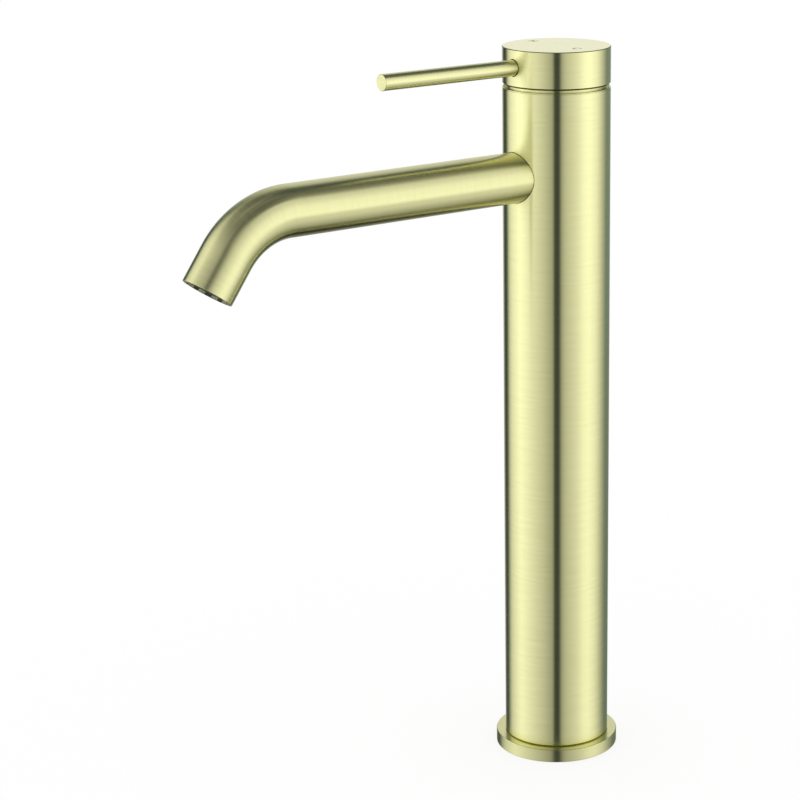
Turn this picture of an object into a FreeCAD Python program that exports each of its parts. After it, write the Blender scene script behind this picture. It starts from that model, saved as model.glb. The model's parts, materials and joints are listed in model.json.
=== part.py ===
# Tall single-lever basin mixer: flange, column, bent spout, pin-lever handle and ceramic cartridge.
# Millimetres, +Z up. The origin is on the column's axis at the deck. The spout and the lever point
# along -Y, hot is on -X and cold on +X.
import FreeCAD
import Part
import math
import os

from FreeCAD import Vector

# Base: flange, gasket and plug
flange_dia = 53.0
flange_thickness = 5.7
flange_edge = 0.3
flange_bore_dia = 36.0
gasket_inset = 2.5
gasket_width = 3.5
gasket_thickness = 1.6
plug_height = 18.0
plug_recess = 0.4
stud_thread_dia = 6.8
stud_thread_depth = 14.0
inlet_thread_dia = 9.0
inlet_thread_depth = 11.0

# Column and the thin trim ring on its top
column_dia = 45.0
column_wall = 1.5
column_length = 285.0
joint_chamfer = 0.05
foot_chamfer = 0.5
trim_ring_height = 0.5
trim_ring_land = 0.35
trim_ring_edge = 0.12
ring_rebate_wall = 0.7
ring_rebate_depth = 2.0
ring_cone_depth = 1.7

# Handle: cap, lever, stem and fixing screw
head_gap = 1.15
cap_height = 15.55
cap_wall = 3.0
cap_roof = 3.0
cap_chamfer = 0.75
cap_top_edge = 0.3
collar_recess = 1.4
collar_thickness = 1.1
collar_drop = 1.5
lever_height = 8.15
lever_dia = 6.7
lever_reach = 86.7
lever_tip_edge = 0.25
lever_socket_depth = 2.0
lever_socket_gap = 0.2
lever_thread_dia = 5.0
lever_thread_gap = 1.4
boss_width = 9.0
boss_drop = 3.4
stem_depth = 14.0
stem_finger_depth = 4.4
finger_dia = 5.0
finger_side_gap = 0.9
pivot_pin_dia = 4.0
cheek_thickness = 3.8
cheek_margin = 1.5
cheek_round = 3.2
lift_angle = 14.0
grub_dia = 4.0
grub_socket_across = 2.0
grub_socket_depth = 2.2
grub_recess = 0.6

# Spout and aerator
spout_dia = 21.0
spout_wall = 1.5
spout_drop = 35.4
spout_straight = 131.0
spout_bend_radius = 34.0
spout_bend_angle = 55.0
spout_end = 15.5
spout_insert = 8.0
spout_lip = 0.6
aerator_recess = 0.1
aerator_length = 7.0
aerator_wall = 1.0
aerator_lip = 0.3
aerator_lip_depth = 0.9
aerator_slots = 10
aerator_slot_width = 2.7
aerator_slot_depth = 0.9
aerator_cell_dia = 2.2
aerator_cell_wall = 0.5
aerator_cell_rings = 2
aerator_first_ring = 6
aerator_insert_length = 4.0
washer_thickness = 1.5
washer_width = 2.6

# Valve body, water passages and riser tubes
cup_wall = 3.4
cup_depth = 15.0
seat_wall = 3.2
body_under = 9.0
outlet_bore_dia = 13.0
outlet_blind_gap = 1.0
passage_dia = 4.6
outlet_passage_dia = 6.0
outlet_passage_offset = 6.0
port_margin = 4.7
port_angle = 29.0
riser_dia = 7.0
riser_wall = 0.8
riser_insert = 8.0

# Cartridge
nut_land = 2.4
nut_height = 7.0
nut_step = 0.8
nut_slots = 4
nut_slot_width = 4.0
nut_slot_depth = 2.5
housing_wall = 1.8
neck_wall = 1.8
neck_step = 3.7
port_plate = 3.0
disc_thickness = 2.5
disc_port_x = 6.0
disc_port_y = -3.0
disc_outlet_y = 4.0
moving_disc_inset = 3.7
moving_disc_cavity_dia = 9.0
moving_disc_cavity_depth = 1.2
driver_height = 4.5
driver_floor = 0.3
turret_flange = 2.0
turret_rise = 1.25
turret_stand = 2.6
rail_thickness = 1.8
rail_drop = 4.3

# Fits
slip = 0.05
seat_fit = 0.10
free_gap = 0.3
disc_film = 0.02
axial_play = 0.1
driver_gap = 0.5
seal_section = 0.9
seal_seat_gap = 0.15

# How far a cut runs past the face it opens
overcut = 1.0

# Places worked out from the sizes above
column_r = column_dia / 2
bore_r = column_r - column_wall
rebate_r = column_r - ring_rebate_wall
column_top = flange_thickness + column_length
ring_top = column_top + trim_ring_height
cap_bottom = ring_top + head_gap
cap_top = cap_bottom + cap_height
roof_z = cap_top - cap_roof
cap_inner_r = column_r - cap_wall
pivot_z = cap_bottom + lever_height
lever_r = lever_dia / 2

spout_r = spout_dia / 2
spout_bore_r = spout_r - spout_wall
spout_z = column_top - spout_drop
spout_bend = math.radians(spout_bend_angle)
spout_turn = Vector(0, -spout_straight, spout_z - spout_bend_radius)
spout_heading = Vector(0, -math.cos(spout_bend), -math.sin(spout_bend))
bend_end = spout_turn + Vector(0, -math.sin(spout_bend), math.cos(spout_bend)) * spout_bend_radius
mouth = bend_end + spout_heading * spout_end
mouth_r = spout_r - spout_lip
aerator_bore_r = mouth_r - slip - aerator_wall

body_r = bore_r - seat_fit
nut_thread_r = body_r - cup_wall
cartridge_r = nut_thread_r - seat_fit - nut_land
housing_r = cartridge_r - housing_wall
turret_r = housing_r - neck_step
seat_z = spout_z + spout_r + seat_wall
body_bottom = spout_z - spout_r - body_under
body_top = seat_z + cup_depth
plate_top = seat_z + port_plate
fixed_top = plate_top + disc_thickness
moving_top = fixed_top + disc_film + disc_thickness
driver_top = moving_top + driver_height
flange_low = driver_top + driver_gap
shoulder_z = flange_low + turret_flange + axial_play
turret_top = cap_bottom + turret_rise
neck_top = turret_top - turret_stand
nut_bottom = shoulder_z + housing_wall - nut_height
nut_top = nut_bottom + nut_height
socket_y = -(body_r - spout_insert)

port_ring = cartridge_r - port_margin
port_x = port_ring * math.cos(math.radians(port_angle))
port_y = port_ring * math.sin(math.radians(port_angle))
riser_r = riser_dia / 2
seal_seat_r = riser_r + seal_section + seal_seat_gap
plug_top = flange_thickness + plug_height
riser_low = plug_top - riser_insert
riser_high = body_bottom + riser_insert

blade_half = turret_r - cheek_margin - cheek_thickness - free_gap
finger_half = blade_half - finger_side_gap
finger_r = finger_dia / 2
finger_z = moving_top + driver_floor + free_gap + finger_r
stem_length = pivot_z - finger_z
lift = math.radians(lift_angle)
disc_travel = stem_length * lift
boss_low = pivot_z - boss_drop

seal_r = seal_section / 2


def disc(radius, low, high, x=0.0, y=0.0):
    """Upright cylinder between two heights."""
    return Part.makeCylinder(radius, high - low, Vector(x, y, low))


def rod(radius, start, end):
    """Cylinder between two points."""
    return Part.makeCylinder(radius, (end - start).Length, start, end - start)


def block(x_range, y_range, z_range):
    """Box between the given limits."""
    size = [high - low for low, high in (x_range, y_range, z_range)]
    return Part.makeBox(*size, Vector(x_range[0], y_range[0], z_range[0]))


def turned(profile):
    """Solid turned about the column's axis from (radius, height) corners."""
    corners = [Vector(radius, 0, height) for radius, height in profile]
    face = Part.Face(Part.makePolygon(corners + corners[:1]))
    return face.revolve(Vector(0, 0, 0), Vector(0, 0, 1), 360)


def o_ring(inner, z, x=0.0, y=0.0):
    """Square-section seal ring around a tube or port of the given radius, centred on a height."""
    low = z - seal_r
    high = z + seal_r
    return disc(inner + slip + seal_section, low, high, x, y).cut(disc(inner + slip, low, high, x, y))


def slot(start, end, half_width, low, high):
    """Upright slot with round ends between two (x, y) points."""
    run = Vector(end[0] - start[0], end[1] - start[1], 0)
    web = Part.makeBox(run.Length, 2 * half_width, high - low, Vector(0, -half_width, 0))
    turn = FreeCAD.Rotation(Vector(1, 0, 0), run)
    web.Placement = FreeCAD.Placement(Vector(start[0], start[1], low), turn)
    ends = [disc(half_width, low, high, *point) for point in (start, end)]
    return web.fuse(ends)


def around(shape, count):
    """Copies of a shape spread evenly about its own Z axis."""
    copies = []
    for index in range(count):
        copy = shape.copy()
        copy.rotate(Vector(0, 0, 0), Vector(0, 0, 1), 360.0 * index / count)
        copies.append(copy)
    return copies


def at_mouth(shape):
    """Moves a piece modelled at the origin, facing +Z, into the spout's mouth."""
    moved = shape.copy()
    moved.Placement = FreeCAD.Placement(mouth, FreeCAD.Rotation(Vector(0, 0, 1), spout_heading))
    return moved


def spout_sweep(radius, start_y, overrun):
    """Round bar along the spout's path, run past the mouth by the given length."""
    start = Vector(0, start_y, spout_z)
    turn_start = Vector(0, -spout_straight, spout_z)
    half = spout_bend / 2
    turn_middle = spout_turn + Vector(0, -math.sin(half), math.cos(half)) * spout_bend_radius
    end = mouth + spout_heading * overrun
    path = Part.Wire([
        Part.LineSegment(start, turn_start).toShape(),
        Part.Arc(turn_start, turn_middle, bend_end).toShape(),
        Part.LineSegment(bend_end, end).toShape(),
    ])
    section = Part.Wire(Part.Circle(start, Vector(0, -1, 0), radius).toShape())
    return path.makePipeShell([section], True, True)


# Base pieces
def make_base_flange():
    outer = flange_dia / 2
    plate = turned([
        (flange_bore_dia / 2, 0), (outer - flange_edge, 0), (outer, flange_edge),
        (outer, flange_thickness - flange_edge), (outer - flange_edge, flange_thickness),
        (flange_bore_dia / 2, flange_thickness),
    ])
    groove_outer = outer - gasket_inset + seat_fit
    groove_inner = outer - gasket_inset - gasket_width - seat_fit
    groove = disc(groove_outer, -overcut, gasket_thickness)
    groove = groove.cut(disc(groove_inner, -overcut, gasket_thickness))
    return plate.cut(groove)


def make_base_gasket():
    outer = flange_dia / 2 - gasket_inset
    return disc(outer, 0, gasket_thickness).cut(disc(outer - gasket_width, 0, gasket_thickness))


def make_base_plug():
    spigot_r = flange_bore_dia / 2 - seat_fit
    plug = disc(bore_r - slip, flange_thickness, plug_top).fuse(disc(spigot_r, plug_recess, flange_thickness))
    cuts = [disc(stud_thread_dia / 2, 0, plug_recess + stud_thread_depth)]
    for side in (-1, 1):
        place = (side * port_x, port_y)
        cuts.append(disc(inlet_thread_dia / 2, 0, plug_recess + inlet_thread_depth, *place))
        cuts.append(disc(passage_dia / 2, 0, plug_top, *place))
        cuts.append(disc(riser_r + slip, riser_low, plug_top + overcut, *place))
        cuts.append(disc(seal_seat_r, plug_top - seal_section - slip, plug_top + overcut, *place))
    return plug.cut(cuts)


def make_riser(side):
    place = (side * port_x, port_y)
    outer = disc(riser_r, riser_low, riser_high, *place)
    return outer.cut(disc(riser_r - riser_wall, riser_low - overcut, riser_high + overcut, *place))


def make_riser_seals():
    heights = (plug_top - seal_r - slip, body_bottom + seal_r + slip)
    rings = [o_ring(riser_r, z, side * port_x, port_y) for side in (-1, 1) for z in heights]
    return Part.makeCompound(rings)


# Column pieces
def make_column_tube():
    tube = turned([
        (bore_r, flange_thickness), (column_r - foot_chamfer, flange_thickness),
        (column_r, flange_thickness + foot_chamfer), (column_r, column_top - joint_chamfer),
        (column_r - joint_chamfer, column_top), (rebate_r, column_top),
        (rebate_r, column_top - ring_rebate_depth), (bore_r, column_top - ring_rebate_depth),
    ])
    spout_hole = rod(spout_r + slip, Vector(0, 0, spout_z), Vector(0, -column_r - overcut, spout_z))
    return tube.cut(spout_hole)


def make_trim_ring():
    spigot_bottom = column_top - ring_rebate_depth + seat_fit
    return turned([
        (bore_r, spigot_bottom), (rebate_r - slip, spigot_bottom), (rebate_r - slip, column_top),
        (column_r - joint_chamfer, column_top), (column_r, column_top + joint_chamfer),
        (column_r, ring_top - trim_ring_edge), (column_r - trim_ring_edge, ring_top),
        (column_r - trim_ring_land, ring_top), (bore_r, column_top - ring_cone_depth),
    ])


# Spout pieces
def make_spout_tube():
    bar = spout_sweep(spout_r, socket_y, 0)
    bore = spout_sweep(spout_bore_r, socket_y + overcut, overcut)
    pocket_depth = aerator_recess + aerator_length + washer_thickness
    pocket = at_mouth(disc(mouth_r, -pocket_depth, overcut))
    groove_y = socket_y - spout_insert / 2
    groove_start = Vector(0, groove_y + seal_r + slip, spout_z)
    groove_end = Vector(0, groove_y - seal_r - slip, spout_z)
    groove_floor = spout_r - seal_section - slip
    groove = rod(spout_r + overcut, groove_start, groove_end).cut(rod(groove_floor, groove_start, groove_end))
    return bar.cut([bore, pocket, groove])


def make_spout_seal():
    groove_y = socket_y - spout_insert / 2
    start = Vector(0, groove_y + seal_r, spout_z)
    end = Vector(0, groove_y - seal_r, spout_z)
    return rod(spout_r, start, end).cut(rod(spout_r - seal_section, start, end))


def make_aerator_housing():
    outer = mouth_r - slip
    inner = aerator_bore_r
    back = -aerator_recess - aerator_length
    lip_back = -aerator_recess - aerator_lip_depth
    ring = turned([
        (inner, back), (outer, back), (outer, -aerator_recess), (inner - aerator_lip, -aerator_recess),
        (inner - aerator_lip, lip_back), (inner, lip_back),
    ])
    key = block((0, outer + overcut), (-aerator_slot_width / 2, aerator_slot_width / 2),
                (-aerator_recess - aerator_slot_depth, overcut))
    return at_mouth(ring.cut(around(key, aerator_slots)))


def make_aerator_insert():
    front = -aerator_recess - aerator_lip_depth
    back = front - aerator_insert_length
    core = disc(aerator_bore_r - slip, back, front)
    pitch = aerator_cell_dia + aerator_cell_wall
    cells = [disc(aerator_cell_dia / 2, back - overcut, front + overcut)]
    for ring in range(1, aerator_cell_rings + 1):
        cell = disc(aerator_cell_dia / 2, back - overcut, front + overcut, ring * pitch, 0)
        cells += around(cell, aerator_first_ring * ring)
    return at_mouth(core.cut(cells))


def make_aerator_washer():
    front = -aerator_recess - aerator_length
    outer = mouth_r - seat_fit
    ring = disc(outer, front - washer_thickness, front)
    hole = disc(outer - washer_width, front - washer_thickness - overcut, front + overcut)
    return at_mouth(ring.cut(hole))


# Valve body
def make_valve_body():
    body = disc(body_r, body_bottom, body_top)
    axis_end = Vector(0, -body_r - overcut, spout_z)
    cuts = [
        disc(cartridge_r + seat_fit, seat_z, body_top + overcut),
        disc(nut_thread_r, nut_bottom - seat_fit, body_top + overcut),
        rod(spout_r + slip, Vector(0, socket_y, spout_z), axis_end),
        rod(outlet_bore_dia / 2, Vector(0, -outlet_blind_gap, spout_z), axis_end),
        disc(outlet_passage_dia / 2, spout_z, seat_z + overcut, 0, -outlet_passage_offset),
    ]
    for side in (-1, 1):
        place = (side * port_x, port_y)
        cuts.append(disc(passage_dia / 2, body_bottom - overcut, seat_z + overcut, *place))
        cuts.append(disc(riser_r + slip, body_bottom - overcut, riser_high, *place))
        cuts.append(disc(seal_seat_r, body_bottom - overcut, body_bottom + seal_section + slip, *place))
    return body.cut(cuts)


# Cartridge pieces that stay still
def port_places():
    """Centre and radius of the hot, cold and outlet passages under the cartridge."""
    inlets = [(side * port_x, port_y, passage_dia / 2) for side in (-1, 1)]
    return inlets + [(0, -outlet_passage_offset, outlet_passage_dia / 2)]


def make_cartridge_base():
    plate = disc(cartridge_r, seat_z, plate_top)
    low = seat_z - overcut
    high = plate_top + overcut
    cuts = [slot((0, -outlet_passage_offset), (0, disc_outlet_y), passage_dia / 2, low, high)]
    for side in (-1, 1):
        start = (side * port_x, port_y)
        end = (side * disc_port_x, disc_port_y)
        cuts.append(slot(start, end, passage_dia / 2, low, high))
    for x, y, radius in port_places():
        cuts.append(disc(radius + seal_section + seal_seat_gap, low, seat_z + seal_section + slip, x, y))
    return plate.cut(cuts)


def make_cartridge_port_seals():
    return Part.makeCompound([o_ring(radius, seat_z + seal_r, x, y) for x, y, radius in port_places()])


def make_cartridge_housing():
    neck_r = turret_r + slip
    upper_r = cartridge_r - nut_step
    return turned([
        (housing_r, plate_top), (cartridge_r, plate_top), (cartridge_r, nut_bottom), (upper_r, nut_bottom),
        (upper_r, shoulder_z + housing_wall), (neck_r + neck_wall, shoulder_z + housing_wall),
        (neck_r + neck_wall, neck_top), (neck_r, neck_top), (neck_r, shoulder_z), (housing_r, shoulder_z),
    ])


def make_fixed_disc():
    plate = disc(housing_r - seat_fit, plate_top, fixed_top)
    low = plate_top - overcut
    high = fixed_top + overcut
    places = [(-disc_port_x, disc_port_y), (disc_port_x, disc_port_y), (0, disc_outlet_y)]
    return plate.cut([disc(passage_dia / 2, low, high, *place) for place in places])


def make_retaining_nut():
    outer = nut_thread_r - slip
    ring = disc(outer, nut_bottom, nut_top).cut(disc(cartridge_r - nut_step + seat_fit, nut_bottom, nut_top))
    key = block((0, outer + overcut), (-nut_slot_width / 2, nut_slot_width / 2),
                (nut_top - nut_slot_depth, nut_top + overcut))
    return ring.cut(around(key, nut_slots))


# Pieces that turn with the handle
def make_stem_carrier():
    barrel = disc(turret_r, flange_low, turret_top)
    foot = disc(housing_r - free_gap, flange_low, flange_low + turret_flange)
    cheek_in = blade_half + free_gap
    cheek_out = cheek_in + cheek_thickness
    rail_in = driver_half() + free_gap
    extras = [foot]
    for side in (-1, 1):
        cheek_x = sorted((side * cheek_in, side * cheek_out))
        upright = block(cheek_x, (-cheek_round, cheek_round), (turret_top, pivot_z))
        crown = rod(cheek_round, Vector(cheek_x[0], 0, pivot_z), Vector(cheek_x[1], 0, pivot_z))
        rail_x = sorted((side * rail_in, side * (rail_in + rail_thickness)))
        rail_half = math.sqrt((housing_r - free_gap) ** 2 - (rail_in + rail_thickness) ** 2)
        rail = block(rail_x, (-rail_half, rail_half), (flange_low - rail_drop, flange_low))
        extras += [upright, crown, rail]
    swing_low = (pivot_z - flange_low) * math.tan(lift)
    side_half = max(finger_r, stem_finger_depth / 2) / math.cos(lift) + free_gap
    window = block((-finger_half - free_gap, finger_half + free_gap), (-swing_low - side_half, side_half),
                   (flange_low - overcut, turret_top + overcut))
    pin_hole = rod(pivot_pin_dia / 2 + slip / 2, Vector(-turret_r, 0, pivot_z), Vector(turret_r, 0, pivot_z))
    groove = seal_groove()
    return barrel.fuse(extras).cut([window, pin_hole, groove])


def seal_groove():
    """Ring groove on the turret, half way up the neck."""
    middle = (shoulder_z + neck_top) / 2
    low = middle - seal_r - slip
    high = middle + seal_r + slip
    return disc(turret_r + overcut, low, high).cut(disc(turret_r - seal_section - slip, low, high))


def make_carrier_seal():
    middle = (shoulder_z + neck_top) / 2
    low = middle - seal_r
    high = middle + seal_r
    return disc(turret_r, low, high).cut(disc(turret_r - seal_section, low, high))


def make_pivot_pin():
    half = blade_half + free_gap + cheek_thickness
    return rod(pivot_pin_dia / 2, Vector(-half, 0, pivot_z), Vector(half, 0, pivot_z))


# Pieces that tilt with the lever
def make_handle_cap():
    collar_r = column_r - collar_recess
    collar_bore_r = collar_r - collar_thickness
    collar_low = cap_bottom - collar_drop
    shell = turned([
        (cap_inner_r, cap_bottom), (collar_bore_r, cap_bottom), (collar_bore_r, collar_low),
        (collar_r, collar_low), (collar_r, cap_bottom), (column_r - cap_chamfer, cap_bottom),
        (column_r, cap_bottom + cap_chamfer),
        (column_r, cap_top - cap_top_edge), (column_r - cap_top_edge, cap_top), (0, cap_top), (0, roof_z),
        (cap_inner_r, roof_z),
    ])
    bosses = block((-boss_width / 2, boss_width / 2), (-column_r, column_r), (boss_low, roof_z))
    bosses = bosses.common(disc(cap_inner_r + cap_wall / 2, boss_low, roof_z))
    stem_space = block((-boss_width, boss_width), (-stem_depth / 2, stem_depth / 2),
                       (boss_low - overcut, roof_z))
    shell = shell.fuse(bosses.cut(stem_space))
    centre = Vector(0, 0, pivot_z)
    socket_floor = Vector(0, -column_r + lever_socket_depth, pivot_z)
    rim = Vector(0, -column_r, pivot_z)
    cuts = [
        rod(lever_thread_dia / 2 + slip, centre, rim),
        rod(lever_r + lever_socket_gap, socket_floor, rim + Vector(0, -overcut, 0)),
        rod(grub_dia / 2 + slip, centre, Vector(0, column_r + overcut, pivot_z)),
    ]
    return shell.cut(cuts)


def make_lever_pin():
    tip = Vector(0, -lever_reach, pivot_z)
    shank_end = Vector(0, -column_r + lever_socket_depth, pivot_z)
    thread_end = Vector(0, -pivot_pin_dia / 2 - lever_thread_gap, pivot_z)
    neck = tip + Vector(0, lever_tip_edge, 0)
    crown = Part.makeCone(lever_r - lever_tip_edge, lever_r, lever_tip_edge, tip, Vector(0, 1, 0))
    return rod(lever_r, neck, shank_end).fuse([crown, rod(lever_thread_dia / 2, shank_end, thread_end)])


def make_stem():
    half = stem_depth / 2
    blade = block((-blade_half, blade_half), (-half, half), (boss_low, roof_z))
    finger = block((-finger_half, finger_half), (-stem_finger_depth / 2, stem_finger_depth / 2),
                   (finger_z, boss_low))
    toe = rod(finger_r, Vector(-finger_half, 0, finger_z), Vector(finger_half, 0, finger_z))
    reach = blade_half + overcut
    cuts = [
        rod(pivot_pin_dia / 2 + slip, Vector(-reach, 0, pivot_z), Vector(reach, 0, pivot_z)),
        rod(lever_thread_dia / 2 + slip, Vector(0, -half - overcut, pivot_z),
            Vector(0, -pivot_pin_dia / 2 - lever_thread_gap, pivot_z)),
    ]
    return blade.fuse([finger, toe]).cut(cuts)


def make_grub_screw():
    start = Vector(0, stem_depth / 2, pivot_z)
    end = Vector(0, column_r - grub_recess, pivot_z)
    screw = rod(grub_dia / 2, start, end)
    corner = grub_socket_across / math.sqrt(3)
    points = []
    for index in range(6):
        angle = math.radians(60 * index)
        points.append(Vector(corner * math.cos(angle), end.y, pivot_z + corner * math.sin(angle)))
    socket = Part.Face(Part.makePolygon(points + points[:1])).extrude(Vector(0, -grub_socket_depth, 0))
    return screw.cut(socket)


# Pieces that slide with the lever
def driver_half():
    """Half width of the carriage, between the turret's two rails."""
    return turret_r - rail_thickness - free_gap


def disc_centre():
    """Resting place of the moving disc, so that its travel is even about the axis."""
    return disc_travel / 2


def make_moving_disc():
    low = fixed_top + disc_film
    plate = disc(housing_r - free_gap - moving_disc_inset, low, moving_top, 0, disc_centre())
    cavity = disc(moving_disc_cavity_dia / 2, low - overcut, low + moving_disc_cavity_depth, 0, disc_outlet_y)
    return plate.cut(cavity)


def make_disc_driver():
    half = driver_half()
    reach = math.sqrt((housing_r - free_gap) ** 2 - half ** 2) - disc_travel / 2 - free_gap
    centre = disc_centre()
    carriage = block((-half, half), (centre - reach, centre + reach), (moving_top, driver_top))
    side = finger_r + free_gap
    notch = block((-finger_half - free_gap, finger_half + free_gap), (-side, side),
                  (moving_top + driver_floor, driver_top + overcut))
    return carriage.cut(notch)


pieces = {
    "base_flange": make_base_flange(),
    "base_gasket": make_base_gasket(),
    "base_plug": make_base_plug(),
    "hot_riser_tube": make_riser(-1),
    "cold_riser_tube": make_riser(1),
    "riser_seals": make_riser_seals(),
    "column_tube": make_column_tube(),
    "trim_ring": make_trim_ring(),
    "spout_tube": make_spout_tube(),
    "spout_seal": make_spout_seal(),
    "aerator_housing": make_aerator_housing(),
    "aerator_insert": make_aerator_insert(),
    "aerator_washer": make_aerator_washer(),
    "valve_body": make_valve_body(),
    "cartridge_base": make_cartridge_base(),
    "cartridge_port_seals": make_cartridge_port_seals(),
    "cartridge_housing": make_cartridge_housing(),
    "fixed_disc": make_fixed_disc(),
    "retaining_nut": make_retaining_nut(),
    "stem_carrier": make_stem_carrier(),
    "carrier_seal": make_carrier_seal(),
    "pivot_pin": make_pivot_pin(),
    "handle_cap": make_handle_cap(),
    "lever_pin": make_lever_pin(),
    "stem": make_stem(),
    "grub_screw": make_grub_screw(),
    "moving_disc": make_moving_disc(),
    "disc_driver": make_disc_driver(),
}

os.makedirs("parts", exist_ok=True)
for name, shape in pieces.items():
    shape.exportStep("parts/" + name + ".step")
    solids = len(shape.Solids)
    print(name, "solids", solids, "valid", shape.isValid(), "volume", round(shape.Volume, 1))

print("height", round(cap_top, 2), "spout reach", round(-mouth.y, 2), "mouth height", round(mouth.z, 2))
print("lever axis height", round(pivot_z, 2), "stem length", round(stem_length, 3))
print("disc travel", round(disc_travel, 3), "inlets at", round(port_x, 3), round(port_y, 3))
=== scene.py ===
# %% [markdown]
# A brushed gold basin mixer. The imported model brings every piece at its real size and place, in metres.
# We load it first.
# The pieces that nobody sees keep their imported meshes. The pieces that show are turned again with more
# steps, because a shiny round surface gives away every flat.

# %% Load the frame
import json
import math

import bmesh
import bpy
from mathutils import Matrix, Vector


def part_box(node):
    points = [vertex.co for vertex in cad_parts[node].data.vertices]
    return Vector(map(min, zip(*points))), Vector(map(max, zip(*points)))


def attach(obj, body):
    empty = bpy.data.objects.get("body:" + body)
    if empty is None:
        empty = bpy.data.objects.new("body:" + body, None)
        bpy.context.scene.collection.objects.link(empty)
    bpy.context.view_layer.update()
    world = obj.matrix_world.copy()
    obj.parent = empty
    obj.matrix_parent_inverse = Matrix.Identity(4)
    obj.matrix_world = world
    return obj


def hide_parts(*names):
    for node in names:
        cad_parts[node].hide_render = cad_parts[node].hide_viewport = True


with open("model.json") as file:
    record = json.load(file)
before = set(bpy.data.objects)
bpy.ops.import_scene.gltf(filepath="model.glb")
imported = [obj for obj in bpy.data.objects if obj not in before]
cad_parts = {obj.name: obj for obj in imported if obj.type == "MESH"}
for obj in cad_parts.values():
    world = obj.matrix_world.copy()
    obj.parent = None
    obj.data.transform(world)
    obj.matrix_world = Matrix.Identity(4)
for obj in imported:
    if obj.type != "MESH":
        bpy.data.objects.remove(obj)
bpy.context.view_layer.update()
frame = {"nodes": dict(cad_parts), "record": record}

MM = 0.001
scene = bpy.context.scene
scene.view_settings.view_transform = "Standard"

# %% [markdown]
# The sizes that the new pieces need are read from the boxes of the nodes that they stand for. A box gives
# a round piece's radius and its two ends. Only the spout's path and its thin lip, which a box can't tell,
# are written out.

# %% Read the sizes from the frame
column_low, column_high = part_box("column_tube")
flange_low, flange_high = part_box("base_flange")
ring_low, ring_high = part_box("trim_ring")
cap_low, cap_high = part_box("handle_cap")
lever_low, lever_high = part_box("lever_pin")
spout_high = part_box("spout_tube")[1]

column_r = column_high.x
flange_r = flange_high.x
cap_r = cap_high.x
lever_r = lever_high.x
lever_z = (lever_low.z + lever_high.z) / 2
spout_r = spout_high.x
spout_z = spout_high.z - spout_r
spout_straight = 131.0 * MM
spout_bend_radius = 34.0 * MM
spout_bend = math.radians(55.0)
spout_bend_length = spout_bend * spout_bend_radius
spout_end = 15.5 * MM
spout_lip = 0.6 * MM
print("column radius", round(column_r, 5), "lever height", round(lever_z, 5),
      "spout height", round(spout_z, 5))

# %% [markdown]
# The camera comes before any looks. The photo was fitted edge by edge: a long lens a metre away, looking
# 16 degrees down, with the lever turned 38 degrees towards us. The column stays upright in the picture away
# from the middle, so the picture was cropped to one side, and a sideways lens shift repeats that crop.

# %% Camera
IMAGE_SIZE = 800
FOCAL_PIXELS = 2427.0
AXIS_PIXEL = 556.45
SENSOR_WIDTH = 36.0
CAMERA_DISTANCE = 0.9969
CAMERA_HEIGHT = 0.44356
CAMERA_PITCH = math.radians(16.07)
CAMERA_AZIMUTH = math.radians(52.0)
ORIGIN = Vector((0.0, 0.0, 0.0))
UP = Vector((0.0, 0.0, 1.0))
towards_camera = Vector((math.sin(CAMERA_AZIMUTH), -math.cos(CAMERA_AZIMUTH), 0.0))
camera_right = Vector((math.cos(CAMERA_AZIMUTH), math.sin(CAMERA_AZIMUTH), 0.0))


def add_object(name, data):
    """Puts a mesh, a text or a camera into the scene as an object."""
    made = bpy.data.objects.new(name, data)
    scene.collection.objects.link(made)
    return made


camera_data = bpy.data.cameras.new("photo_camera")
camera_data.sensor_width = SENSOR_WIDTH
camera_data.lens = FOCAL_PIXELS / IMAGE_SIZE * SENSOR_WIDTH
camera_data.shift_x = (IMAGE_SIZE / 2 - AXIS_PIXEL) / IMAGE_SIZE
camera = add_object("photo_camera", camera_data)
camera.location = towards_camera * CAMERA_DISTANCE + UP * CAMERA_HEIGHT
camera.rotation_euler = (math.pi / 2 - CAMERA_PITCH, 0.0, CAMERA_AZIMUTH)
scene.camera = camera
print("lens", round(camera_data.lens, 1), "shift", round(camera_data.shift_x, 4))

# %% [markdown]
# A look in Blender is a graph of shader nodes, and adding each node by hand makes long code. These helpers
# keep it short. One fills a node's inputs: a socket is linked, a plain value is set. The others add a
# node, do a sum on numbers or vectors, and start a material with its main shader.

# %% Shader helpers
WHITE = (1.0, 1.0, 1.0, 1.0)


def fill_inputs(tree, node, inputs):
    """Links the sockets and sets the plain values that a node's inputs are given."""
    for key, value in inputs.items():
        if isinstance(value, bpy.types.NodeSocket):
            tree.links.new(value, node.inputs[key])
        else:
            node.inputs[key].default_value = value


def new_node(tree, kind, inputs=None, **properties):
    """Adds a shader node, sets its properties and then fills its inputs."""
    node = tree.nodes.new(kind)
    for key, value in properties.items():
        setattr(node, key, value)
    fill_inputs(tree, node, inputs or {})
    return node


def math_node(tree, operation, *values):
    """Result of a sum on sockets and plain numbers."""
    return new_node(tree, "ShaderNodeMath", dict(enumerate(values)), operation=operation).outputs[0]


def vector_node(tree, operation, *values):
    """A Vector Math node on sockets and plain vectors."""
    return new_node(tree, "ShaderNodeVectorMath", dict(enumerate(values)), operation=operation)


def new_finish(name):
    """A new material, with its tree and its main shader."""
    material = bpy.data.materials.new(name)
    material.use_nodes = True
    return material, material.node_tree, material.node_tree.nodes["Principled BSDF"]


print("materials that came with the frame", len(bpy.data.materials))

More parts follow.
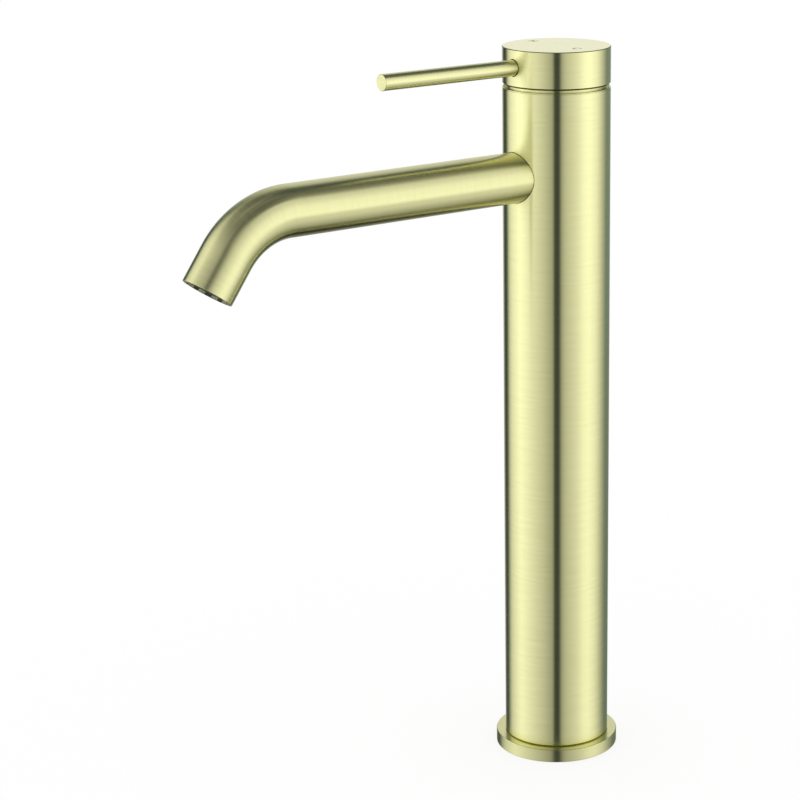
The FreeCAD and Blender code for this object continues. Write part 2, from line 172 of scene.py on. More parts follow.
# %% [markdown]
# Polished metal has no colour of its own to show: it shows the room. A product studio is a white tent
# with a tall soft light on each side, a black gap where the camera looks in, and dark cards behind the
# object that draw a dark line down both edges. The room is written as two ramps of greys. The first goes
# round the object, in degrees to the left and the right of the camera. The two sides aren't alike: the
# left card is narrow and black, the right one is wide and grey. The second goes from straight down, at -1,
# to straight up, at 1, because overhead and underfoot the tent is dimmer. The darkest greys lean a little
# towards a cool blue-green.

# %% Greys of the studio
STUDIO_LEFT = [
    (4.0, 0.05), (8.5, 0.42), (30.0, 0.69), (58.0, 0.98), (85.0, 1.25), (112.0, 0.95),
    (122.0, 0.72), (130.0, 0.22), (136.0, 0.05), (150.0, 0.05), (161.0, 0.55), (170.0, 0.84),
]
STUDIO_RIGHT = [
    (6.0, 0.05), (11.5, 0.42), (20.0, 0.61), (48.0, 0.91), (60.0, 1.12), (75.0, 1.22),
    (97.0, 0.96), (119.0, 0.47), (132.0, 0.22), (160.0, 0.22), (172.0, 0.84),
]
HEIGHT_GREYS = [
    (-1.0, 0.08), (-0.94, 0.12), (-0.87, 0.42), (-0.59, 0.72), (-0.41, 0.80), (-0.28, 1.06), (-0.22, 1.14),
    (0.0, 1.12), (0.30, 1.05), (0.75, 0.66), (0.79, 0.15), (0.95, 0.10), (1.0, 0.35),
]
DARK_GREY = 0.3
DARK_TINT = (0.85, 1.08, 1.12)
NO_TINT = (1.0, 1.0, 1.0)


def grey_ramp(tree, value, stops):
    """Ramp of greys over a value from 0 to 1."""
    ramp = new_node(tree, "ShaderNodeValToRGB", {"Fac": value})
    elements = ramp.color_ramp.elements
    while len(elements) < len(stops):
        elements.new(0.5)
    for element, (position, grey) in zip(elements, stops):
        tint = DARK_TINT if grey < DARK_GREY else NO_TINT
        element.position = position
        element.color = [grey * share for share in tint] + [1.0]
    return ramp.outputs["Color"]


print("greys round the object", len(STUDIO_LEFT) + len(STUDIO_RIGHT), "and upwards", len(HEIGHT_GREYS))

# %% [markdown]
# One world shader holds the whole room. It measures how far a ray turns to the left or the right of the
# camera and how steeply it rises, and looks up both greys. Rays that go down behind the object are taken
# as steeper than they are, so the floor fades sooner there. Only reflections see this room. Camera rays
# see plain white, and the floor and the plastics get an even soft light.

# %% Studio room
FLOOR_SLOPE = 0.5
SOFT_LIGHT = 1.0
FULL_TURN = 360.0


def reach_along(tree, vector, direction):
    """How far a vector reaches along a fixed direction."""
    return vector_node(tree, "DOT_PRODUCT", vector, direction).outputs["Value"]


def turn_grey(tree, ray):
    """Grey for the way that a ray turns from the camera."""
    turn = math_node(tree, "ARCTAN2", reach_along(tree, ray, camera_right),
                     reach_along(tree, ray, towards_camera))
    share = math_node(tree, "ADD", math_node(tree, "DIVIDE", turn, 2 * math.pi), 0.5)
    stops = [(0.5 - degrees / FULL_TURN, grey) for degrees, grey in reversed(STUDIO_LEFT)]
    stops += [(0.5 + degrees / FULL_TURN, grey) for degrees, grey in STUDIO_RIGHT]
    return grey_ramp(tree, share, stops)


def height_grey(tree, ray):
    """Grey for the steepness of a ray."""
    rise = reach_along(tree, ray, UP)
    behind = math_node(tree, "MAXIMUM", reach_along(tree, ray, -towards_camera), 0.0)
    below = math_node(tree, "MULTIPLY", math_node(tree, "MINIMUM", rise, 0.0), FLOOR_SLOPE)
    height = math_node(tree, "ADD", rise, math_node(tree, "MULTIPLY", below, behind))
    share = math_node(tree, "ADD", math_node(tree, "DIVIDE", height, 2.0), 0.5)
    return grey_ramp(tree, share, [(position / 2 + 0.5, grey) for position, grey in HEIGHT_GREYS])


def build_world():
    world = bpy.data.worlds.new("studio_tent")
    scene.world = world
    world.use_nodes = True
    tree = world.node_tree
    tree.nodes.clear()
    ray = new_node(tree, "ShaderNodeTexCoord").outputs["Generated"]
    room = new_node(tree, "ShaderNodeBackground",
                    {"Color": turn_grey(tree, ray), "Strength": height_grey(tree, ray)})
    soft = new_node(tree, "ShaderNodeBackground", {"Color": WHITE, "Strength": SOFT_LIGHT})
    reflected = new_node(tree, "ShaderNodeLightPath").outputs["Is Glossy Ray"]
    mix = new_node(tree, "ShaderNodeMixShader", {"Fac": reflected, 1: soft.outputs[0], 2: room.outputs[0]})
    new_node(tree, "ShaderNodeOutputWorld", {"Surface": mix.outputs[0]})
    return tree


room_tree = build_world()
print("nodes of the room", len(room_tree.nodes))

# %% [markdown]
# The floor is a wide white disc. Reflections look past it into the white room, so the metal keeps the
# studio's long clean bands down to its foot. In a product picture the floor is so bright that hardly any
# shadow is left. More light would do that, but it would also bleach the object. So for the camera alone a
# good part of the floor glows, at a strength of 1, which is white, and the rest keeps a faint soft shadow.

# %% Floor
FLOOR_RADIUS = 6.0
FLOOR_SIDES = 64
FLOOR_ROUGHNESS = 0.9
FLOOR_GLOW = 0.8


def add_bmesh(name, bm):
    """Makes an object of a bmesh and frees the bmesh."""
    mesh = bpy.data.meshes.new(name)
    bm.to_mesh(mesh)
    bm.free()
    return add_object(name, mesh)


def floor_finish():
    material, tree, shader = new_finish("pale_floor")
    fill_inputs(tree, shader, {
        "Base Color": WHITE, "Roughness": FLOOR_ROUGHNESS, "Specular IOR Level": 0.0,
    })
    glow = new_node(tree, "ShaderNodeEmission", {"Color": WHITE})
    seen = new_node(tree, "ShaderNodeLightPath").outputs["Is Camera Ray"]
    share = math_node(tree, "MULTIPLY", seen, FLOOR_GLOW)
    mix = new_node(tree, "ShaderNodeMixShader", {"Fac": share, 1: shader.outputs[0], 2: glow.outputs[0]})
    fill_inputs(tree, tree.nodes["Material Output"], {"Surface": mix.outputs[0]})
    return material


disc = bmesh.new()
bmesh.ops.create_circle(disc, cap_ends=True, segments=FLOOR_SIDES, radius=FLOOR_RADIUS)
floor = add_bmesh("floor", disc)
floor.data.materials.append(floor_finish())
floor.visible_glossy = False
print("floor radius", FLOOR_RADIUS)

# %% [markdown]
# Brushed metal is a base metal with thousands of fine scratches that all run the same way. The pattern
# changes quickly across the scratches and slowly along them, so each piece says which measure runs across
# its scratches: the height on the column, the length on the lever, the distance from the axis on a turned
# face, or the length along the path on the spout, which is stored on its points.

# %% Measures across the scratches
def object_point(tree):
    """Where a point lies on the object."""
    return new_node(tree, "ShaderNodeTexCoord").outputs["Object"]


def object_axes(tree):
    """The three object coordinates as separate sockets."""
    return new_node(tree, "ShaderNodeSeparateXYZ", {0: object_point(tree)}).outputs


def across_height(tree):
    """Height: scratches run round an upright tube."""
    return object_axes(tree)["Z"]


def across_reach(tree):
    """Reach towards the user: scratches run round the lever."""
    return object_axes(tree)["Y"]


def across_turning(tree):
    """Height plus distance from the axis: scratches run round both the rim and the flat faces."""
    axes = object_axes(tree)
    squares = [math_node(tree, "MULTIPLY", axes[letter], axes[letter]) for letter in "XY"]
    radius = math_node(tree, "SQRT", math_node(tree, "ADD", *squares))
    return math_node(tree, "ADD", radius, axes["Z"])


def across_path(tree):
    """Length along the spout: scratches run round the tube, also in the bend."""
    return new_node(tree, "ShaderNodeAttribute", attribute_name="along").outputs["Fac"]


print("length along the spout", round(spout_straight + spout_bend_length + spout_end, 4))

# %% [markdown]
# Across the scratches the surface tilts quickly, along them it doesn't. So a reflection smears across the
# scratches and stays sharp along them. The shader's anisotropy gives this when its tangent says which way
# the scratches run. Round a straight axis that is the axis crossed with the way out to the point. On the
# spout the heading turns with the bend, so there it is the normal crossed with the heading.

# %% Ways of the scratches
def way_round(tree, axis, centre):
    """Way round a straight axis, turned from the object's frame to the world's."""
    outwards = vector_node(tree, "SUBTRACT", object_point(tree), centre)
    way = vector_node(tree, "CROSS_PRODUCT", axis, outwards.outputs[0])
    return new_node(tree, "ShaderNodeVectorTransform", {0: way.outputs[0]}, vector_type="VECTOR",
                    convert_from="OBJECT", convert_to="WORLD").outputs[0]


def way_round_column(tree):
    return way_round(tree, UP, ORIGIN)


def way_round_lever(tree):
    return way_round(tree, Vector((0.0, 1.0, 0.0)), UP * lever_z)


def way_round_spout(tree):
    """Way round the spout's tube, whose heading turns from level to steep in the bend."""
    angle = new_node(tree, "ShaderNodeMapRange", {
        "Value": across_path(tree), "From Min": spout_straight,
        "From Max": spout_straight + spout_bend_length, "To Max": spout_bend,
    }).outputs[0]
    forwards = math_node(tree, "MULTIPLY", math_node(tree, "COSINE", angle), -1.0)
    downwards = math_node(tree, "MULTIPLY", math_node(tree, "SINE", angle), -1.0)
    heading_way = new_node(tree, "ShaderNodeCombineXYZ", {"Y": forwards, "Z": downwards})
    normal = new_node(tree, "ShaderNodeNewGeometry").outputs["Normal"]
    return vector_node(tree, "CROSS_PRODUCT", normal, heading_way.outputs[0]).outputs[0]


print("the spout's heading turns by", round(math.degrees(spout_bend), 1), "degrees")

# %% [markdown]
# The scratches themselves are two noises: a coarse one for the bands that the eye reads as brushing, and
# a fine one for the glitter. A noise in four dimensions can run fast across the scratches, in its fourth
# measure, and slowly along them, in the other three, so that a scratch ends after a while.

# %% Lines of the scratches
FINE_LINES = 5200.0
FINE_DETAIL = 3.0
BROAD_LINES = 900.0
BROAD_DETAIL = 2.0
SCRATCH_RUN = 12.0 * MM


def line_noise(tree, measure, scale, detail):
    """Noise that makes long thin lines across a measure."""
    drift = new_node(tree, "ShaderNodeVectorMath",
                     {0: object_point(tree), "Scale": 1.0 / (SCRATCH_RUN * scale)}, operation="SCALE")
    noise = new_node(tree, "ShaderNodeTexNoise",
                     {"Vector": drift.outputs[0], "W": measure, "Scale": scale, "Detail": detail},
                     noise_dimensions="4D")
    return noise.outputs["Fac"]


print("lines", round(1.0 / FINE_LINES / MM, 2), "and", round(1.0 / BROAD_LINES / MM, 2), "mm wide")

# %% [markdown]
# Both noises together move the colour between two golds, the roughness about its middle, and a shallow
# bump. A quarter turn of the anisotropy lays the smear across the tangent instead of along it, because
# the tangent follows the scratches.

# %% Brushed gold
GOLD = (0.96, 0.95, 0.53)
GOLD_DEEP = (0.76, 0.75, 0.37)
SCRATCH_GLOSS = 0.04
SCRATCH_DEPTH = 0.02 * MM
SCRATCH_STRENGTH = 0.06
QUARTER_TURN = 0.25
LEAST_ROUGHNESS = 0.05


def shaded(colour, share):
    """A colour made darker or paler."""
    return tuple(min(1.0, value * share) for value in colour) + (1.0,)


def vary(tree, shader, value, dark, pale, roughness, spread):
    """Lets a noise move a shader's colour between two tones and its roughness about a middle."""
    tone = new_node(tree, "ShaderNodeMix", {"Factor": value, "A": dark, "B": pale}, data_type="RGBA")
    gloss = new_node(tree, "ShaderNodeMapRange", {
        "Value": value, "To Min": max(LEAST_ROUGHNESS, roughness - spread), "To Max": roughness + spread,
    })
    fill_inputs(tree, shader, {"Base Color": tone.outputs["Result"], "Roughness": gloss.outputs["Result"]})


def brushed_gold(name, across, way, roughness=0.24, stretch=1.0, shade=1.0):
    """Brushed gold whose scratches lie across the given measure and run the given way."""
    material, tree, shader = new_finish(name)
    measure = across(tree)
    broad = line_noise(tree, measure, BROAD_LINES, BROAD_DETAIL)
    fine = line_noise(tree, measure, FINE_LINES, FINE_DETAIL)
    lines = math_node(tree, "DIVIDE", math_node(tree, "ADD", broad, fine), 2.0)
    # shade darkens both golds, making a darker copy of the gold as painted shade.
    vary(tree, shader, lines, shaded(GOLD_DEEP, shade), shaded(GOLD, shade), roughness, SCRATCH_GLOSS)
    bump = new_node(tree, "ShaderNodeBump",
                    {"Height": lines, "Strength": SCRATCH_STRENGTH, "Distance": SCRATCH_DEPTH})
    fill_inputs(tree, shader, {
        "Metallic": 1.0, "Anisotropic": stretch, "Anisotropic Rotation": QUARTER_TURN,
        "Tangent": way(tree), "Normal": bump.outputs["Normal"],
    })
    return material


print("tones of gold from", GOLD_DEEP, "to", GOLD)

# %% [markdown]
# Each gold piece gets its own brushing. The flange is a little rougher than the column. Its rim, its top and
# the spout are darkened a little, as painted shade. The flat tops of the cap and the flange are brushed both
# ways, so they shine evenly, with no stretch.

# %% Gold finishes
gold_column = brushed_gold("brushed_gold_column", across_height, way_round_column)
gold_turned = brushed_gold("brushed_gold_turned", across_turning, way_round_column)
# The flange's rim, the flange's top and the spout take darker copies of the gold, as painted shade.
gold_flange = brushed_gold("brushed_gold_flange", across_turning, way_round_column,
                           roughness=0.32, shade=0.92)
gold_top = brushed_gold("brushed_gold_top", across_turning, way_round_column,
                        roughness=0.20, stretch=0.0)
gold_step = brushed_gold("brushed_gold_step", across_turning, way_round_column,
                         roughness=0.26, stretch=0.0, shade=0.88)
gold_lever = brushed_gold("brushed_gold_lever", across_reach, way_round_lever)
gold_spout = brushed_gold("brushed_gold_spout", across_path, way_round_spout,
                          roughness=0.25, shade=0.96)
print("gold finishes", [m.name for m in bpy.data.materials if m.name.startswith("brushed_gold")])

# %% [markdown]
# Plain finishes have a grain instead: a fine noise that moves the colour and the roughness a little,
# because no moulded or machined surface is perfectly even. Two of them are painted shade on the gold
# pieces themselves. The near-black one is painted on the walls of holes and the bore as the shade inside
# them, which draws the fine line round the spout's root. The darker gold one is painted on chamfers as the
# shade along edges and joints.

# %% Grained finishes
GRAIN_SCALE = 900.0
GRAIN_DETAIL = 3.0
GRAIN_SPREAD = 0.12
GRAIN_GLOSS = 0.08


def grained(name, colour, roughness, metallic=0.0, gloss=0.5):
    """Plain finish with a fine grain in its tone and its gloss."""
    material, tree, shader = new_finish(name)
    noise = new_node(tree, "ShaderNodeTexNoise",
                     {"Vector": object_point(tree), "Scale": GRAIN_SCALE, "Detail": GRAIN_DETAIL})
    vary(tree, shader, noise.outputs["Fac"], shaded(colour, 1.0 - GRAIN_SPREAD),
         shaded(colour, 1.0 + GRAIN_SPREAD), roughness, GRAIN_GLOSS)
    fill_inputs(tree, shader, {"Metallic": metallic, "Specular IOR Level": gloss})
    return material


# Painted shade: a near-black colour for the shade inside holes and the bore.
painted_recess_shade = grained("painted_recess_shade", (0.07, 0.08, 0.05), 0.6, gloss=0.1)
# Painted shade: a darker gold for the dark lines that shade draws along edges and joints.
painted_edge_shade = grained("painted_edge_shade", (0.46, 0.45, 0.18), 0.3, metallic=1.0)
print("grain", round(1.0 / GRAIN_SCALE / MM, 2), "mm wide")

# %% [markdown]
# Every round piece here is turned on a lathe, so one helper turns a profile. The profile is a closed
# chain of points in a half plane, and spin carries it round the axis. Points on the axis itself would
# leave faces without area, which are dissolved.

# %% Lathe
TURN_STEPS = 256
MERGE_DISTANCE = 0.001 * MM


def turned_bmesh(profile, centre=ORIGIN, axis=UP, steps=TURN_STEPS):
    """Spins a closed chain of (radius, distance along the axis) points about an axis."""
    bm = bmesh.new()
    side = Vector((1.0, 0.0, 0.0))
    points = [bm.verts.new(centre + side * radius + axis * along) for radius, along in profile]
    edges = [bm.edges.new((points[i - 1], points[i])) for i in range(len(points))]
    bmesh.ops.spin(bm, geom=points + edges, cent=centre, axis=axis, angle=2 * math.pi, steps=steps,
                   use_merge=True)
    bmesh.ops.dissolve_degenerate(bm, dist=MERGE_DISTANCE, edges=bm.edges)
    return bm


print("flats of the turned column", round(2 * math.pi * column_r / TURN_STEPS / MM, 2), "mm wide")

# %% [markdown]
# Every gold piece is finished in the same way. A spin can leave the faces pointing inwards, so the
# doubles are merged and the normals recalculated. A Bevel modifier with hardened normals then breaks the
# edges as a real deburring tool does, and the flats stay flat.

# %% Broken edges
SHARP_ANGLE = math.radians(35.0)
BREAK_SEGMENTS = 3


def finish_piece(name, bm, material, body, node, edge):
    """Makes a piece of a bmesh, breaks its edges, gives it its finish and lets it ride."""
    bmesh.ops.remove_doubles(bm, verts=bm.verts, dist=MERGE_DISTANCE)
    bmesh.ops.recalc_face_normals(bm, faces=bm.faces)
    for face in bm.faces:
        face.smooth = True
    piece = add_bmesh(name, bm)
    piece.data.materials.append(material)
    bevel = piece.modifiers.new("broken_edges", "BEVEL")
    bevel.width = edge
    bevel.segments = BREAK_SEGMENTS
    bevel.limit_method = "ANGLE"
    bevel.angle_limit = SHARP_ANGLE
    bevel.harden_normals = True
    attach(piece, body)
    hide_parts(node)
    print(name, "faces", len(piece.data.polygons))
    return piece


print("edges sharper than", round(math.degrees(SHARP_ANGLE)), "degrees are broken")

# %% [markdown]
# One piece can have more than one finish, as where a flat top is brushed another way than the rim. Paint
# gives a second finish to the faces that pass a test, and the test looks at the middle of a face. The
# flange is the first piece made in this way: a plain turned disc with a crisp edge.

# %% Base flange
FLANGE_BORE = 18.0 * MM
FLANGE_BREAK = 0.35 * MM
SAME_HEIGHT = 0.01 * MM


def paint(piece, material, test):
    """Gives another finish to the faces whose middle passes a test."""
    piece.data.materials.append(material)
    picked = [face for face in piece.data.polygons if test(face.center)]
    for face in picked:
        face.material_index = len(piece.data.materials) - 1
    print(piece.name, material.name, "on", len(picked), "faces")


def on_flat(height):
    """Test for the flat faces at a height."""
    return lambda middle: abs(middle.z - height) < SAME_HEIGHT


flange_profile = [
    (FLANGE_BORE, flange_low.z), (flange_r, flange_low.z),
    (flange_r, flange_high.z), (FLANGE_BORE, flange_high.z),
]
flange = finish_piece("gold_base_flange", turned_bmesh(flange_profile), gold_flange, "root",
                      "base_flange", FLANGE_BREAK)
# The flange's top takes a darker gold, as painted shade.
paint(flange, gold_step, on_flat(flange_high.z))

# %% [markdown]
# The spout and the lever go through round holes in round walls. A Boolean cut is the simplest way there:
# the cutter is a turned bar, and the cut mesh is read back, so that no modifier depends on a second
# object. The Bevel is switched off while the cut is read, so that it still acts afterwards.

# %% Hole cutter
BAR_STEPS = 128
HOLE_STEPS = 64


def bar_bmesh(radius, start_y, end_y, z, steps):
    """Solid bar along Y at a height."""
    profile = [(0.0, start_y), (radius, start_y), (radius, end_y), (0.0, end_y)]
    return turned_bmesh(profile, UP * z, Vector((0.0, 1.0, 0.0)), steps)


def cut_holes(piece, cutters):
    """Cuts closed bmeshes out of a piece and keeps the result as its mesh."""
    bevel = piece.modifiers["broken_edges"]
    bevel.show_viewport = False
    for bm in cutters:
        bmesh.ops.recalc_face_normals(bm, faces=bm.faces)
        hole = piece.modifiers.new("hole", "BOOLEAN")
        hole.object = add_bmesh("cutter", bm)
        hole.solver = "EXACT"
        piece.modifiers.move(len(piece.modifiers) - 1, 0)
    bpy.context.view_layer.update()
    evaluated = piece.evaluated_get(bpy.context.evaluated_depsgraph_get())
    piece.data = bpy.data.meshes.new_from_object(evaluated)
    for hole in [modifier for modifier in piece.modifiers if modifier.type == "BOOLEAN"]:
        bpy.data.objects.remove(hole.object)
        piece.modifiers.remove(hole)
    bevel.show_viewport = True
    piece.data.shade_smooth()
    print(piece.name, "faces with its holes", len(piece.data.polygons))


print("flats of a bar as wide as the lever", round(2 * math.pi * lever_r / BAR_STEPS / MM, 2), "mm wide")

# %% [markdown]
# The column is a plain tube that stands on the flange. The chamfer at its foot is painted a darker gold, as
# painted shade that shows as the fine dark line above the flange. The hole for the spout is a little wider
# than the spout, and its wall is painted near black as the shade inside it, which leaves a fine line round
# the spout's root.

# %% Column
COLUMN_WALL = 1.5 * MM
COLUMN_SKIN = COLUMN_WALL / 4
COLUMN_BREAK = 0.04 * MM
FOOT_CHAMFER = 0.5 * MM
RING_REBATE = 0.7 * MM
SPOUT_CLEARANCE = 0.2 * MM
HOLE_SLACK = 1.1


def on_chamfer(low_z, size, wall_r):
    """Test for the faces of a chamfer round a wall, from its lower edge upwards."""
    return lambda middle: low_z < middle.z < low_z + size and middle.xy.length > wall_r - size


def in_front_hole(skin_r, bar_r, clearance, z):
    """Test for the wall of a hole on the user's side, below the skin of a round wall, which gets painted
    shade.
    """
    def test(middle):
        in_wall = middle.y < 0.0 and middle.xy.length < skin_r
        return in_wall and math.hypot(middle.x, middle.z - z) < bar_r + HOLE_SLACK * clearance
    return test


column_profile = [
    (column_r - COLUMN_WALL, column_low.z), (column_r - FOOT_CHAMFER, column_low.z),
    (column_r, column_low.z + FOOT_CHAMFER), (column_r, column_high.z),
    (column_r - RING_REBATE, column_high.z), (column_r - RING_REBATE, ring_low.z),
    (column_r - COLUMN_WALL, ring_low.z),
]
column = finish_piece("gold_column", turned_bmesh(column_profile), gold_column, "root",
                      "column_tube", COLUMN_BREAK)
cut_holes(column, [bar_bmesh(spout_r + SPOUT_CLEARANCE, -2 * column_r, 0.0, spout_z, BAR_STEPS)])
# The foot chamfer is painted a darker gold as painted shade of the joint.
paint(column, painted_edge_shade, on_chamfer(column_low.z, FOOT_CHAMFER, column_r))
# The wall of the spout's hole is painted near black as painted shade.
paint(column, painted_recess_shade, in_front_hole(column_r - COLUMN_SKIN, spout_r, SPOUT_CLEARANCE, spout_z))

# %% [markdown]
# The trim ring sits on the column with a fine joint under it. Its top is a thin land that falls away
# inside as a cone, because the back of the cap dips in there when the lever is lifted.

# %% Trim ring
RING_LAND = 0.35 * MM
RING_CONE = 1.7 * MM
RING_SLIP = 0.05 * MM
RING_BREAK = 0.2 * MM

spigot_r = column_r - RING_REBATE - RING_SLIP
ring_profile = [
    (spigot_r, ring_low.z), (spigot_r, column_high.z),
    (column_r, column_high.z), (column_r, ring_high.z), (column_r - RING_LAND, ring_high.z),
    (column_r - COLUMN_WALL, column_high.z - RING_CONE), (column_r - COLUMN_WALL, ring_low.z),
]
finish_piece("gold_trim_ring", turned_bmesh(ring_profile), gold_column, "root", "trim_ring", RING_BREAK)

# %% [markdown]
# The cap is a cup turned upside down, with a chamfer round its lower edge that makes the gap look like a
# groove, and a collar inside it that closes the view into the groove. The lever goes through a hole in
# its wall, and a grub screw sits in another at the back. A Bevel stays narrower than the smallest face
# beside it, and holes leave small faces, so the broken top edge is part of the turned profile instead.
# The flat top is brushed both ways. Both chamfers are painted a darker gold, and the wall of the lever's
# hole near black, as painted shade.

# %% Handle cap
CAP_WALL = 3.0 * MM
CAP_CHAMFER = 0.75 * MM
CAP_EDGE = 0.3 * MM
CAP_DROP = 8.15 * MM
CAP_BREAK = 0.05 * MM
COLLAR_RECESS = 1.4 * MM
COLLAR_THICKNESS = 1.1 * MM
LEVER_CLEARANCE = 0.3 * MM
LEVER_HOLE_DEPTH = 2.5 * MM
GRUB_HOLE = 2.1 * MM
GRUB_HOLE_DEPTH = 2.9 * MM

cap_bottom = lever_z - CAP_DROP
collar_r = cap_r - COLLAR_RECESS
cap_profile = [
    (0.0, cap_high.z), (cap_r - CAP_EDGE, cap_high.z), (cap_r, cap_high.z - CAP_EDGE),
    (cap_r, cap_bottom + CAP_CHAMFER), (cap_r - CAP_CHAMFER, cap_bottom),
    (collar_r, cap_bottom), (collar_r, cap_low.z), (collar_r - COLLAR_THICKNESS, cap_low.z),
    (collar_r - COLLAR_THICKNESS, cap_bottom), (cap_r - CAP_WALL, cap_bottom),
    (cap_r - CAP_WALL, cap_high.z - CAP_WALL), (0.0, cap_high.z - CAP_WALL),
]
cap = finish_piece("gold_handle_cap", turned_bmesh(cap_profile), gold_turned, "handle",
                   "handle_cap", CAP_BREAK)
cut_holes(cap, [
    bar_bmesh(lever_r + LEVER_CLEARANCE, -2 * cap_r, LEVER_HOLE_DEPTH - cap_r, lever_z, HOLE_STEPS),
    bar_bmesh(GRUB_HOLE, cap_r - GRUB_HOLE_DEPTH, 2 * cap_r, lever_z, HOLE_STEPS),
])
cap_chamfers = [
    on_chamfer(cap_high.z - CAP_EDGE, CAP_EDGE, cap_r), on_chamfer(cap_bottom, CAP_CHAMFER, cap_r),
]
paint(cap, gold_top, on_flat(cap_high.z))
# The wall of the lever's hole is painted near black as painted shade.
paint(cap, painted_recess_shade, in_front_hole(cap_r - LEVER_CLEARANCE, lever_r, LEVER_CLEARANCE, lever_z))
# Both chamfers of the cap are painted a darker gold as painted shade at its edges.
paint(cap, painted_edge_shade, lambda middle: any(test(middle) for test in cap_chamfers))

# %% [markdown]
# The lever is a slim bar with a flat end whose edge is just broken. Its other end sits in the cap's hole.

# %% Lever
LEVER_SEAT = 2.2 * MM
LEVER_BREAK = 0.25 * MM

finish_piece("gold_lever", bar_bmesh(lever_r, lever_low.y, LEVER_SEAT - cap_r, lever_z, BAR_STEPS),
             gold_lever, "handle", "lever_pin", LEVER_BREAK)

# %% [markdown]
# The spout follows a middle line: a straight, an arc and a short end. Before it is built, we work out the
# arc's centre, the place where it ends and the mouth, and a helper that tells how far along that line a
# point lies and how far from it. The first answer goes onto the points, where the brushing reads it, and
# the second picks out the bore, which is painted near black as painted shade.

# %% Path of the spout
bend_centre = Vector((0.0, -spout_straight, spout_z - spout_bend_radius))
heading = Vector((0.0, -math.cos(spout_bend), -math.sin(spout_bend)))
bend_exit = bend_centre + Vector((0.0, -math.sin(spout_bend), math.cos(spout_bend))) * spout_bend_radius
mouth = bend_exit + heading * spout_end


def path_place(point):
    """Length along the spout's middle line, nearest to a point, and the distance from that line."""
    if point.y > -spout_straight:
        return -point.y, math.hypot(point.x, point.z - spout_z)
    across = point - bend_centre
    angle = math.atan2(-across.y, across.z)
    if angle <= spout_bend:
        distance = math.hypot(point.x, across.yz.length - spout_bend_radius)
        return spout_straight + angle * spout_bend_radius, distance
    beyond = point - bend_exit
    along = beyond.dot(heading)
    return spout_straight + spout_bend_length + along, (beyond - heading * along).length


print("mouth", [round(value, 4) for value in mouth])

# %% [markdown]
# A bent tube could be a curve with a round section, but a curve can't have a wall with a lip and a
# pocket. So a ring of edges does the work: it is extruded along a straight, spun through the bend, or
# drawn in towards its centre, and each helper hands back the new ring for the next step.

# %% Ring helpers
BEND_STEPS = 48


def edges_of(made):
    return [item for item in made if isinstance(item, bmesh.types.BMEdge)]


def points_of(edges):
    """The points of some edges, each once and always in the same order."""
    return list(dict.fromkeys(point for edge in edges for point in edge.verts))


def extrude_ring(bm, edges, offset):
    """Extrudes a ring of edges, moves the new ring and returns it."""
    ring = edges_of(bmesh.ops.extrude_edge_only(bm, edges=edges)["geom"])
    bmesh.ops.translate(bm, verts=points_of(ring), vec=offset)
    return ring


def bend_ring(bm, edges, angle):
    """Spins a ring of edges through the bend and returns the last ring."""
    spun = bmesh.ops.spin(bm, geom=edges + points_of(edges), cent=bend_centre,
                          axis=Vector((1.0, 0.0, 0.0)), angle=angle, steps=BEND_STEPS)
    return edges_of(spun["geom_last"])


def narrow_ring(bm, edges, centre, share):
    """Extrudes a ring of edges on the spot and draws the new ring in towards its centre."""
    ring = extrude_ring(bm, edges, Vector((0.0, 0.0, 0.0)))
    bmesh.ops.scale(bm, verts=points_of(ring), vec=(share, share, share),
                    space=Matrix.Translation(-centre))
    return ring


print("each step of the bend", round(math.degrees(spout_bend) / BEND_STEPS, 2), "degrees")

# %% [markdown]
# The spout is one tube. The ring starts at its root inside the column, goes out to the mouth, is drawn in
# to a thin lip, goes back up the pocket that holds the aerator, and then the same way back as the bore,
# until it can be bridged to the ring it started from.

# %% Spout
SPOUT_STEPS = 128
SPOUT_WALL = 1.5 * MM
SPOUT_ROOT = -13.0 * MM
SPOUT_BREAK = 0.12 * MM
MOUTH_DEPTH = 8.6 * MM
LIP_DEPTH = 0.1 * MM


def in_bore(middle):
    """Whether a face of the spout belongs to the pocket and bore behind the lip, which get painted shade."""
    length, distance = path_place(middle)
    return length < path_place(mouth)[0] - LIP_DEPTH and distance < spout_r - spout_lip / 2


def build_spout():
    bm = bmesh.new()
    place = Matrix.Translation((0.0, SPOUT_ROOT, spout_z)) @ Matrix.Rotation(math.pi / 2, 4, "X")
    bmesh.ops.create_circle(bm, segments=SPOUT_STEPS, radius=spout_r, matrix=place)
    root_ring = list(bm.edges)
    straight = Vector((0.0, -spout_straight - SPOUT_ROOT, 0.0))
    pocket_r = spout_r - spout_lip
    ring = extrude_ring(bm, root_ring, straight)
    ring = bend_ring(bm, ring, spout_bend)
    ring = extrude_ring(bm, ring, heading * spout_end)
    ring = narrow_ring(bm, ring, mouth, pocket_r / spout_r)
    ring = extrude_ring(bm, ring, heading * -MOUTH_DEPTH)
    ring = narrow_ring(bm, ring, mouth - heading * MOUTH_DEPTH, (spout_r - SPOUT_WALL) / pocket_r)
    ring = extrude_ring(bm, ring, heading * (MOUTH_DEPTH - spout_end))
    ring = bend_ring(bm, ring, -spout_bend)
    ring = extrude_ring(bm, ring, -straight)
    bmesh.ops.bridge_loops(bm, edges=root_ring + ring)
    store = bm.verts.layers.float.new("along")
    for point in bm.verts:
        point[store] = path_place(point.co)[0]
    return finish_piece("gold_spout", bm, gold_spout, "root", "spout_tube", SPOUT_BREAK)


# The pocket and the bore are painted near black as painted shade.
paint(build_spout(), painted_recess_shade, in_bore)

# %% [markdown]
# The hidden and half-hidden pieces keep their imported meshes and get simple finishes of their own, all made
# by the same helper with a grain. The record says which finish each node takes. The nodes that the gold
# pieces stand for get the turned gold.

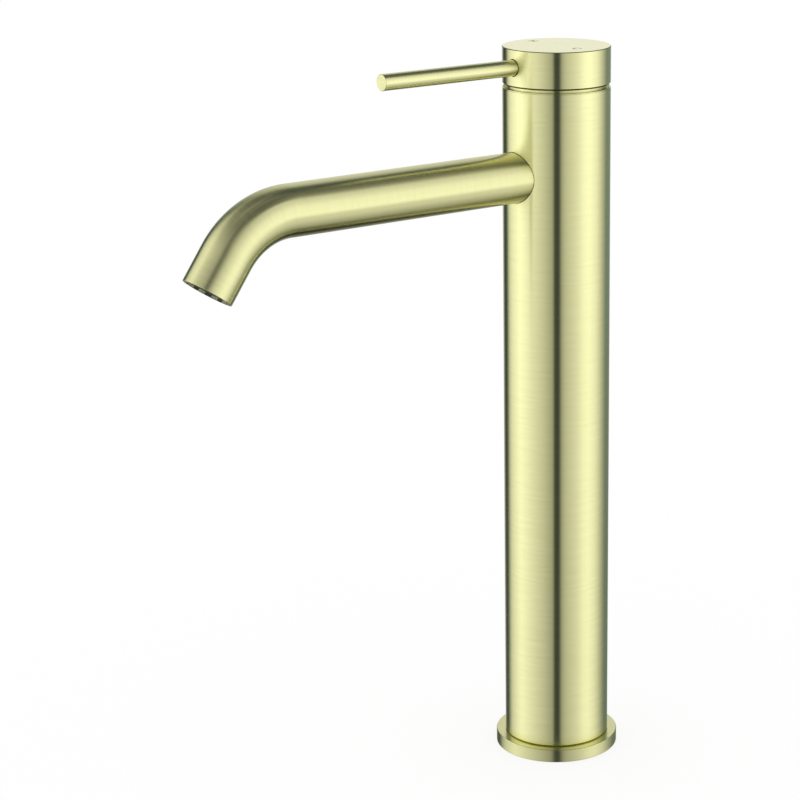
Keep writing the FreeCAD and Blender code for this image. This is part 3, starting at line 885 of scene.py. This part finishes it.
# %% Finishes of the inner pieces
inner_finishes = {
    "aerator_gold": grained("satin_gold", (0.86, 0.86, 0.56), 0.35, metallic=1.0),
    "plain_brass": grained("machined_brass", (0.72, 0.58, 0.30), 0.32, metallic=1.0),
    "drawn_tube": grained("drawn_steel", (0.62, 0.63, 0.64), 0.28, metallic=1.0),
    "pin_steel": grained("ground_steel", (0.55, 0.56, 0.57), 0.25, metallic=1.0),
    "seal_rubber": grained("seal_rubber", (0.03, 0.03, 0.03), 0.65),
    "aerator_plastic": grained("dark_moulding", (0.05, 0.055, 0.05), 0.5),
    "cartridge_plastic": grained("pale_moulding", (0.75, 0.75, 0.72), 0.5),
    "disc_ceramic": grained("lapped_ceramic", (0.86, 0.85, 0.80), 0.18),
}
slot_of = {part["node"]: part["material_slot"] for part in frame["record"]["subparts"]}
for name, node in frame["nodes"].items():
    finish = inner_finishes.get(slot_of[name], gold_turned)
    node.data.materials.clear()
    node.data.materials.append(finish)
print("inner finishes", sorted(inner_finishes))

# %% [markdown]
# Two small letters on the cap say which way is hot and which is cold. They are lightly etched and filled,
# so they are thin flat text, turned to a mesh and laid on the cap just proud of its surface.

# %% Hot and cold marks
MARK_HEIGHT = 3.6 * MM
CAPITAL_SHARE = 0.7
MARK_PROUD = 0.02 * MM
MARK_HOT_X = -15.9 * MM
MARK_COLD_X = 13.0 * MM
MARK_ROUGHNESS = 0.7


def build_mark(name, letter, x, colour):
    """Lays a letter on the cap as a thin mesh that rides with the handle."""
    curve = bpy.data.curves.new("mark", "FONT")
    curve.body = letter
    curve.size = MARK_HEIGHT / CAPITAL_SHARE
    curve.align_x = "CENTER"
    curve.align_y = "CENTER"
    curve.extrude = MARK_PROUD / 2
    text = add_object("mark", curve)
    bpy.context.view_layer.update()
    evaluated = text.evaluated_get(bpy.context.evaluated_depsgraph_get())
    mesh = bpy.data.meshes.new_from_object(evaluated)
    bpy.data.objects.remove(text)
    mesh.transform(Matrix.Translation((x, 0.0, cap_high.z + MARK_PROUD / 2)))
    mesh.materials.clear()
    mesh.materials.append(grained("etched_" + name, colour, MARK_ROUGHNESS, gloss=0.0))
    mark = add_object(name, mesh)
    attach(mark, "handle")
    print(name, "faces", len(mesh.polygons))


build_mark("mark_hot", "H", MARK_HOT_X, (0.28, 0.15, 0.09))
build_mark("mark_cold", "C", MARK_COLD_X, (0.15, 0.19, 0.19))
